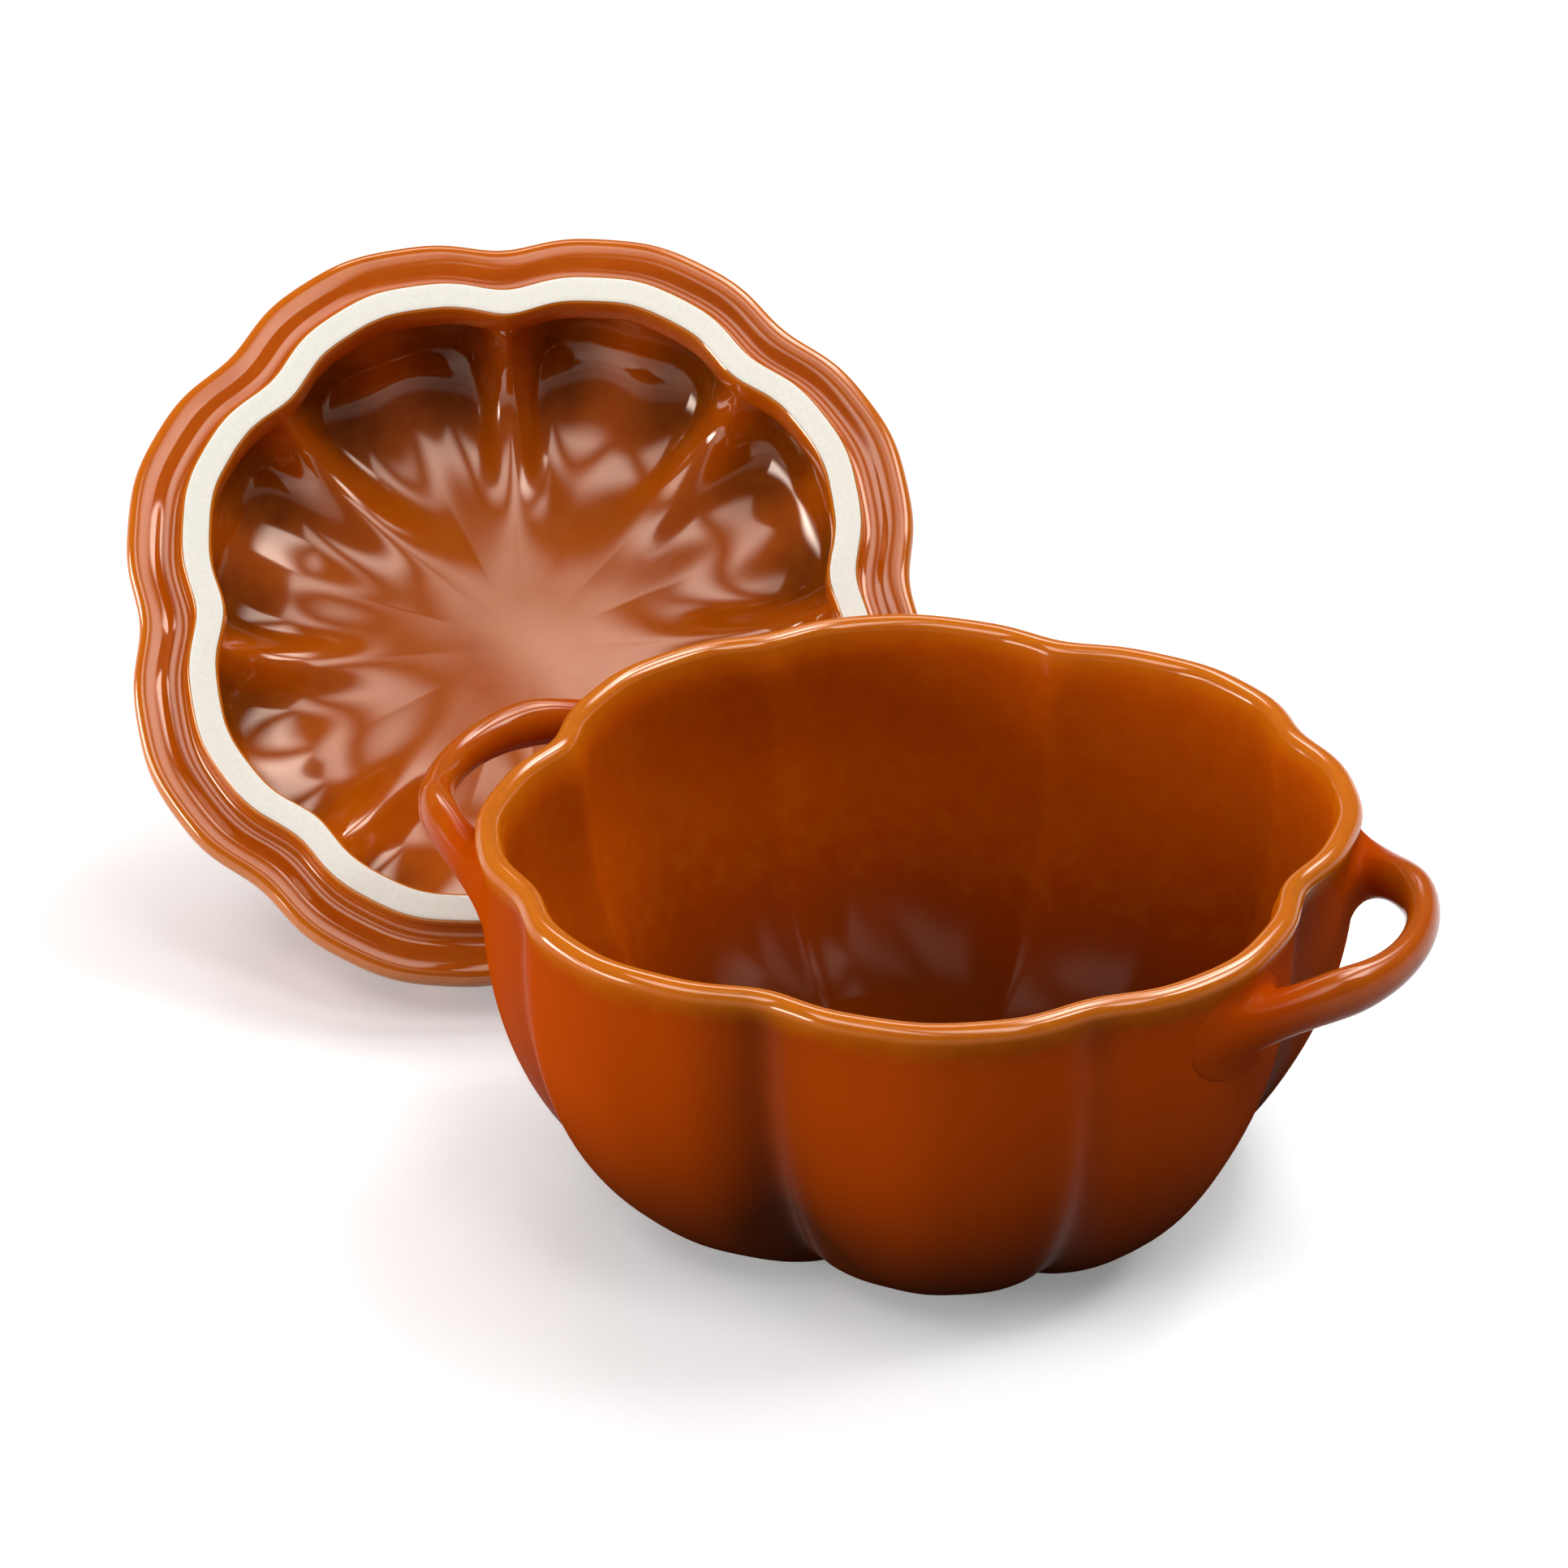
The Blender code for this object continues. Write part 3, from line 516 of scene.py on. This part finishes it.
dome_outside = dome_line(dome_radius, dome_foot, DOME_HEIGHT, *DOME_HOLLOW, OUTSIDE_ROWS)
dome_inside = dome_line(dome_radius - DOME_WALL, SHELF_HEIGHT + SHELF_ROUNDING,
                        DOME_HEIGHT - DOME_WALL + CROWN_RAISED, *INSIDE_BUMP, INSIDE_ROWS)[::-1]
under_line = smooth_line(np.vstack((under_points, dome_inside[:1])), UNDER_ROWS)
lid_line = np.vstack((dome_outside, bead_line[:-1], under_line[:-1], dome_inside))
lid_row = np.arange(len(lid_line))[:, None]
on_dome = lid_row < len(dome_outside)
inside = lid_row >= len(lid_line) - len(dome_inside)

lid_angles = np.linspace(0.0, 2 * math.pi, LID_COLUMNS, endpoint=False)[None, :]
line_r, line_z = lid_line[:, :1], lid_line[:, 1:]
swing = flute(lid_angles, DEEP_NOTCH_LID)
flank = np.minimum(1.0, line_r / ring_inside) ** LOBE_FADE
ridged = GROOVE_DEPTH - INSIDE_RELIEF * (GROOVE_DEPTH - pressed(line_r, lid_angles, INSIDE_REACH))
press = np.where(inside, ridged, pressed(line_r, lid_angles))
press *= np.clip((line_z - dome_foot) / GROOVE_FADE, 0.0, 1.0)
lean = np.minimum(1.0, line_r / dome_radius) ** SHELL_LEAN
lid_r = line_r + flank * swing - press * lean
lid_z = line_z - press * (1.0 - lean)
lid_rows = np.stack((lid_r * np.cos(lid_angles), lid_r * np.sin(lid_angles), lid_z), -1)

# How the glaze lies on the lid: thin over the flange's edge and round the bare ring, thick in the grooves,
# glossy but for the dome, and softer in the middle of the underside. Shade is painted into the hollows under the
# lobes.
LID_GOLD = 0.40
EDGE_GOLD = 0.4
EDGE_BLEND = (0.2 * FLANGE_BEAD, 1.6 * FLANGE_BEAD)   # from the flange's edge
RING_GOLD = 0.4
RING_BLEND = (0.002, 0.001)       # from the ring's sides
RING_RISE = (-0.0018, -0.0036)    # heights between which that gold sets in
HOLLOW_REACH = (0.038, 0.056)     # radii between which the hollows between the ridges set in
HOLLOW_SHARE = (0.8, 0.2)         # shares of the grooves' depth, from a ridge to the hollow beside it
# painted shade in the hollows: the share of gold taken out there, and how dark they are drawn
HOLLOW_SHADE_GOLD_LOSS = 0.5                 # share of the gold that they lose
HOLLOW_SHADE = 0.80
GROOVE_POOL = 0.7
UNDER_IOR = 1.9
HOLLOW_IOR_LOSS = 0.45
FLANGE_IOR = 1.75
DOME_IOR_LOSS = 0.5
DOME_SHEEN_LOSS = 0.8
MIDDLE_REACH = (0.060, 0.044)     # radii between which the softer middle sets in
MIDDLE_SHEEN_LOSS = 0.5
to_edge = np.hypot(line_r - LID_RADIUS, line_z - FLANGE_BEAD)
on_ring = soft_step(0.0, RING_EDGE, RING_RADIUS - line_r) * soft_step(0.0, RING_EDGE, line_r - ring_inside)
lid_bare = on_ring * soft_step(RING_EDGE - RING_HEIGHT, -RING_HEIGHT, line_z)
by_ring = soft_step(*RING_BLEND, np.abs(line_r - ring_middle) - RING_WIDTH / 2) * soft_step(*RING_RISE, line_z)
# where shade is painted into the hollows beside the ridges, near the ring
shaded_hollow = soft_step(*HOLLOW_REACH, line_r) * soft_step(*np.multiply(HOLLOW_SHARE, GROOVE_DEPTH), press)
lid_thin = LID_GOLD + EDGE_GOLD * (1.0 - soft_step(*EDGE_BLEND, to_edge)) + RING_GOLD * by_ring
# the hollows are drawn darker and less golden, as painted shade
lid_thin = lid_thin * (1.0 - HOLLOW_SHADE_GOLD_LOSS * shaded_hollow * inside)
lid_pool_and_shade = np.where(inside, HOLLOW_SHADE * shaded_hollow, GROOVE_POOL * soft_step(0.0, GROOVE_DEPTH, press))
silky = on_dome * soft_step(dome_foot, dome_foot + GROOVE_FADE, line_z)
middle = inside * soft_step(*MIDDLE_REACH, line_r)
lid_ior = np.where(inside, UNDER_IOR - HOLLOW_IOR_LOSS * shaded_hollow, FLANGE_IOR - DOME_IOR_LOSS * silky)
lid_sheen = 1.0 - DOME_SHEEN_LOSS * silky - MIDDLE_SHEEN_LOSS * middle
turn_over = np.array(Euler((LID_TILT, 0.0, LID_FACING)).to_matrix())
lid_rows = lid_rows @ turn_over.T
lid_low, lid_high = map(np.array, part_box("lid"))
lid_place = (lid_low + lid_high - lid_rows.min((0, 1)) - lid_rows.max((0, 1))) / 2
lid = skin("lid_shell", lid_rows + lid_place, glaze_thin=lid_thin, glaze_pool=lid_pool_and_shade, ior=lid_ior,
           sheen=lid_sheen, bare=lid_bare)
lid.data.materials.append(glaze)
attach(lid, "lid_body")
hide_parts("lid")

# Stem
# The lid's knob, a bent and ribbed stalk of the same clay with a cut end, modelled by hand.
# It is luted into the hollow of the crown, and its flared root is smoothed into the dome under the glaze.
STEM_RADIUS = 0.0086
STEM_HEIGHT = 0.0342              # above the dome's hollow
STEM_BEND = 0.0160                # how far its tip leans over
STEM_FLARE = 0.0070               # extra radius at the root
STEM_SINK = 0.0040                # how far its root would run on into the dome
STEM_RIBS = 6
STEM_RIB_DEPTH = 0.0007
STEM_ROUNDING = 0.0012
STEM_PRINT = 0.0185               # radius of the smoothed root on the dome
STEM_PRINT_SINK = 0.0001          # its edge lies this far under the dome's surface
STEM_PLUG = (0.8, 0.0015)         # share of that radius and depth of the ring that closes the root
STEM_ROOT_LEVEL = 0.30            # share of the stalk over which the root runs out
STEM_PULLS = (0.006, 0.004)       # pull of the dome's and the stalk's directions on the curve between them
STEM_STEPS = (0.001, 0.01)        # steps in radius and in level that those directions are taken over
CUT_RINGS = (0.35, 0.6, 0.85)     # how far in the rings over the cut end lie, as shares of the radius
ROOT_STEPS, STEM_ROWS, TIP_STEPS, STEM_COLUMNS = 20, 48, 8, 96
STEM_GOLD, STEM_IOR, STEM_SHEEN = 0.27, 1.40, 0.4

stem_side = np.linspace(0.0, 2 * math.pi, STEM_COLUMNS, endpoint=False)
stem_root = DOME_HEIGHT - DOME_HOLLOW[0] - GROOVE_DEPTH
stem_rise = STEM_HEIGHT + STEM_SINK


def stalk_ring(level, inset=0.0, lift=0.0):
    """Ribbed section of the stalk, which leans towards +Y as it rises."""
    flare = STEM_FLARE * math.exp(-max(0.0, level * stem_rise - STEM_SINK) / STEM_FLARE)
    radius = STEM_RADIUS + flare + STEM_RIB_DEPTH * level - inset
    tip_lean = math.atan2(2 * STEM_BEND * level, stem_rise)
    rib = np.maximum(0.0, radius + STEM_RIB_DEPTH * np.cos(STEM_RIBS * stem_side))
    out = rib * np.sin(stem_side)
    return np.column_stack((
        rib * np.cos(stem_side),
        STEM_BEND * level ** 2 + out * math.cos(tip_lean) + lift * math.sin(tip_lean),
        stem_root - STEM_SINK + stem_rise * level - out * math.sin(tip_lean) + lift * math.cos(tip_lean),
    ))


def crown_ring(radius, sink):
    """Ring of points a little under the dome's outside."""
    height = np.interp(radius, dome_outside[:, 0], dome_outside[:, 1])
    return np.column_stack((radius * np.cos(stem_side), radius * np.sin(stem_side),
                            height - pressed(radius, stem_side) - sink))


foot = crown_ring(STEM_PRINT, STEM_PRINT_SINK)
inward = crown_ring(STEM_PRINT - STEM_STEPS[0], STEM_PRINT_SINK) - foot
inward /= np.linalg.norm(inward, axis=1)[:, None]
neck = stalk_ring(STEM_ROOT_LEVEL)
down = stalk_ring(STEM_ROOT_LEVEL - STEM_STEPS[1]) - neck
down /= np.linalg.norm(down, axis=1)[:, None]
stem_rows = [crown_ring(share * STEM_PRINT, STEM_PLUG[1]) for share in (0.0, STEM_PLUG[0])]
for t in np.linspace(0.0, 1.0, ROOT_STEPS)[:-1]:
    stem_rows.append((1 - t) ** 3 * foot + 3 * t * (1 - t) ** 2 * (foot + STEM_PULLS[0] * inward)
                     + 3 * t * t * (1 - t) * (neck + STEM_PULLS[1] * down) + t ** 3 * neck)
stem_rows += [stalk_ring(level) for level in np.linspace(STEM_ROOT_LEVEL, 1.0, STEM_ROWS)]
stem_rows += [stalk_ring(1.0, STEM_ROUNDING * (1 - math.cos(t)), STEM_ROUNDING * math.sin(t))
              for t in np.linspace(0.0, math.pi / 2, TIP_STEPS)[1:]]
stem_rows += [stalk_ring(1.0, STEM_RADIUS * share, STEM_ROUNDING) for share in CUT_RINGS]
stem_rows.append(np.broadcast_to(stem_rows[-1].mean(0), stem_rows[-1].shape))
stem_rows = np.array(stem_rows) @ turn_over.T + lid_place
stem = skin("stem_knob_stalk", stem_rows, glaze_thin=STEM_GOLD, glaze_pool=0.0, ior=STEM_IOR,
            sheen=STEM_SHEEN, bare=0.0)
stem.data.materials.append(glaze)
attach(stem, "lid_body")
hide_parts("stem_knob")

# Floor
# A plain pale sheet of paper that the bowl and the lid stand on.
# It shows their shadows close to them, and further away it is plain white.
FLOOR_COLOUR = "#7C7A77"          # as the object is lit by it
FLOOR_SEEN = "#FFFFFF"            # as it is seen, directly or in the glaze
FLOOR_GLOW = 0.22                 # light of its own that it is seen with near the object, rising to 1 away from it
FLOOR_FADE = (0.22, 0.55)         # from the middle, where its shadows start to fade and where it is plain white
FLOOR_HALF = 4.0
FLOOR_DROP = 0.0002               # it lies this far under the pieces, so that no faces coincide
FLOOR_ROUGHNESS = 0.9
floor_mesh = bpy.data.meshes.new("floor")
corners = [(x * FLOOR_HALF, y * FLOOR_HALF, 0.0) for x, y in ((-1, -1), (1, -1), (1, 1), (-1, 1))]
floor_mesh.from_pydata(corners, [], [(0, 1, 2, 3)])
floor = bpy.data.objects.new("floor", floor_mesh)
floor.location.z = -FLOOR_DROP
bpy.context.scene.collection.objects.link(floor)
paper = bpy.data.materials.new("pale_paper")
paper.use_nodes = True
tree = paper.node_tree
sheet = tree.nodes["Principled BSDF"]
path = add_node(tree, "ShaderNodeLightPath")
seen = add_node(tree, "ShaderNodeMath", {0: path.outputs["Is Camera Ray"], 1: path.outputs["Is Glossy Ray"]},
                operation="ADD")
seen = add_node(tree, "ShaderNodeMath", {0: seen.outputs[0], 1: path.outputs["Is Transmission Ray"]},
                operation="ADD", use_clamp=True)
away = add_node(tree, "ShaderNodeVectorMath", {0: add_node(tree, "ShaderNodeTexCoord").outputs["Object"]},
                operation="LENGTH")
away = add_node(tree, "ShaderNodeMapRange", {"Value": away.outputs["Value"], "From Min": FLOOR_FADE[0],
                "From Max": FLOOR_FADE[1]}, interpolation_type="SMOOTHSTEP")
white = add_node(tree, "ShaderNodeMix", {"Factor": away.outputs[0], "A": colour(FLOOR_SEEN),
                 "B": (0.0, 0.0, 0.0, 1.0)}, data_type="RGBA")
shade = add_node(tree, "ShaderNodeMix", {"Factor": seen.outputs[0], "A": colour(FLOOR_COLOUR),
                 "B": white.outputs["Result"]}, data_type="RGBA")
glow = add_node(tree, "ShaderNodeMapRange", {"Value": away.outputs[0], "To Min": FLOOR_GLOW, "To Max": 1.0})
glow = add_node(tree, "ShaderNodeMath", {0: seen.outputs[0], 1: glow.outputs[0]}, operation="MULTIPLY")
tree.links.new(shade.outputs["Result"], sheet.inputs["Base Color"])
tree.links.new(glow.outputs[0], sheet.inputs["Emission Strength"])
sheet.inputs["Emission Color"].default_value = (1.0, 1.0, 1.0, 1.0)
sheet.inputs["Roughness"].default_value = FLOOR_ROUGHNESS
sheet.inputs["Specular IOR Level"].default_value = 0.0
floor_mesh.materials.append(paper)

# Camera
# A long lens at the photograph's angle, aimed at the middle of the bowl's mouth.
# The photograph's framing is given by the lens's shift.
VIEW_AZIMUTH = math.radians(21.94)
VIEW_ELEVATION = math.radians(28.39)
VIEW_DISTANCE = 0.9731
VIEW_AIM = Vector((0.0, 0.0, POT_HEIGHT - LIP_RADIUS))
IMAGE_SIZE = 1932
FOCAL_PIXELS = 7000
MOUTH_MIDDLE = (1133.9, 1008.2)   # pixel of the middle of the bowl's mouth
SENSOR_WIDTH = 36.0
CLIP_START = 0.01


def seen_from(azimuth, elevation, distance):
    """Point at a distance from the bowl's mouth, with azimuth 0 on the -Y side."""
    return VIEW_AIM + distance * Vector((math.sin(azimuth) * math.cos(elevation),
                                         -math.cos(azimuth) * math.cos(elevation), math.sin(elevation)))


def aim(thing, target):
    """Turn a camera or a lamp to look at a point."""
    thing.rotation_euler = (target - thing.location).to_track_quat("-Z", "Y").to_euler()


camera_data = bpy.data.cameras.new("camera")
camera_data.sensor_width = SENSOR_WIDTH
camera_data.lens = SENSOR_WIDTH * FOCAL_PIXELS / IMAGE_SIZE
camera_data.shift_x = (IMAGE_SIZE / 2 - MOUTH_MIDDLE[0]) / IMAGE_SIZE
camera_data.shift_y = (MOUTH_MIDDLE[1] - IMAGE_SIZE / 2) / IMAGE_SIZE
camera_data.clip_start = CLIP_START
camera = bpy.data.objects.new("camera", camera_data)
camera.location = seen_from(VIEW_AZIMUTH, VIEW_ELEVATION, VIEW_DISTANCE)
aim(camera, VIEW_AIM)
bpy.context.scene.collection.objects.link(camera)
bpy.context.scene.camera = camera

# Light
# A low soft box at the left, a large one high in front that shows in the lid, one behind for the lip, one at the
# right, and a dim room. Each row gives a box's name, azimuth from the camera, elevation, distance, width, height
# and brightness.
STUDIO = (
    ("left_box", -80.0, 7.0, 1.2, 1.1, 0.5, 17.0),
    ("top_box", -14.0, 64.0, 1.3, 1.7, 1.2, 3.4),
    ("back_box", 175.0, 48.0, 1.3, 1.2, 0.6, 6.0),
    ("right_box", 112.0, 55.0, 1.4, 1.2, 1.2, 7.8),
)
SOFT_EDGE = 0.35                  # share of a soft box's width over which it fades at each side
ROOM_STRENGTH = (0.7, 0.08)       # at the horizon and overhead
ROOM_FADE = (0.08, 0.20)          # rise over which it dims
for name, azimuth, elevation, distance, width, height, brightness in STUDIO:
    lamp = bpy.data.lights.new(name, "AREA")
    lamp.shape = "RECTANGLE"
    lamp.size = width
    lamp.size_y = height
    lamp.energy = math.pi * brightness * width * height
    lamp.use_nodes = True
    tree = lamp.node_tree
    spot = add_node(tree, "ShaderNodeNewGeometry").outputs["Parametric"]
    spot = add_node(tree, "ShaderNodeSeparateXYZ", {"Vector": spot})
    both = add_node(tree, "ShaderNodeMath", {0: spot.outputs["X"], 1: spot.outputs["Y"]}, operation="ADD")
    fades = []
    for place in (spot.outputs["Y"], both.outputs[0]):
        inset = add_node(tree, "ShaderNodeMath", {0: place, 1: 0.5}, operation="PINGPONG")
        fades.append(add_node(tree, "ShaderNodeMapRange", {"Value": inset.outputs[0], "From Max": SOFT_EDGE},
                              interpolation_type="SMOOTHSTEP").outputs[0])
    glow = add_node(tree, "ShaderNodeMath", {0: fades[0], 1: fades[1]}, operation="MULTIPLY")
    tree.links.new(glow.outputs[0], tree.nodes["Emission"].inputs["Strength"])
    stand = bpy.data.objects.new(name, lamp)
    stand.location = seen_from(VIEW_AZIMUTH + math.radians(azimuth), math.radians(elevation), distance)
    aim(stand, VIEW_AIM)
    bpy.context.scene.collection.objects.link(stand)
room = bpy.data.worlds.new("room")
room.use_nodes = True
tree = room.node_tree
backdrop = tree.nodes["Background"]
backdrop.inputs["Color"].default_value = (1.0, 1.0, 1.0, 1.0)
direction = add_node(tree, "ShaderNodeTexCoord").outputs["Generated"]
upward = add_node(tree, "ShaderNodeSeparateXYZ", {"Vector": direction})
dim = add_node(tree, "ShaderNodeMapRange", {"Value": upward.outputs["Z"], "From Min": ROOM_FADE[0],
               "From Max": ROOM_FADE[1], "To Min": ROOM_STRENGTH[0], "To Max": ROOM_STRENGTH[1]},
               interpolation_type="SMOOTHSTEP")
tree.links.new(dim.outputs[0], backdrop.inputs["Strength"])
bpy.context.scene.world = room
bpy.context.scene.view_settings.view_transform = "Standard"
